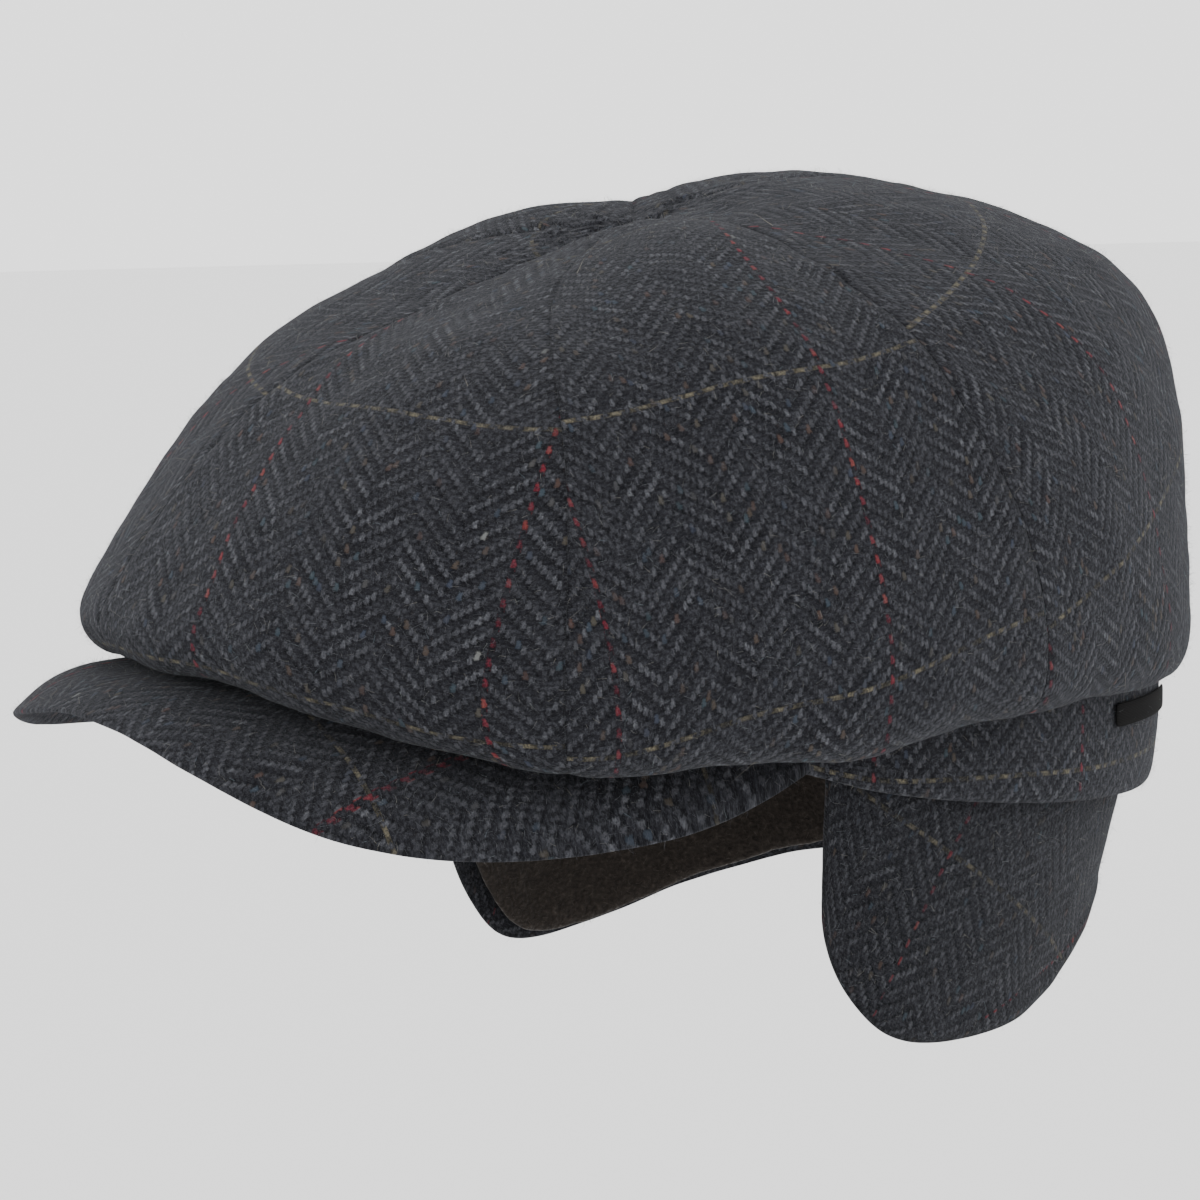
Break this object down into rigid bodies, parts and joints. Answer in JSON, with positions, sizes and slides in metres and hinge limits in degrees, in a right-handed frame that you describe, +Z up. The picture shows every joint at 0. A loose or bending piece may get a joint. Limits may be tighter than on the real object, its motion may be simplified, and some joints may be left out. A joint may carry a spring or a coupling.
{
  "type": "winter cap with ear and nape flap",
  "caption": "Panelled tweed cap with an arched cloth-covered visor, a cloth band and a pile-lined flap that hangs over the ears and nape.",
  "frame": {"origin": "middle of the head opening, level with the band's lower edge over the ears, where the cap sits on a head", "axes": "+Z up, -Y to the front where the visor points, +X to the wearer's left"},
  "size_m": [0.2257, 0.2727, 0.189],
  "materials": {
    "tweed": "brushed wool herringbone tweed, dark navy with a pale blue-grey fleck and a windowpane check",
    "pile": "short black-brown fleece pile",
    "label": "bare black woven label"
  },
  "bodies": {
    "root": {"crown_panel_front_left": "tweed", "crown_panel_side_left": "tweed", "crown_panel_back_left": "tweed", "crown_panel_back_right": "tweed", "crown_panel_side_right": "tweed", "crown_panel_front_right": "tweed", "band": "tweed", "visor": "tweed", "ear_flap": "tweed", "ear_flap_lining": "pile", "side_tag": "label"}
  },
  "joints": []
}
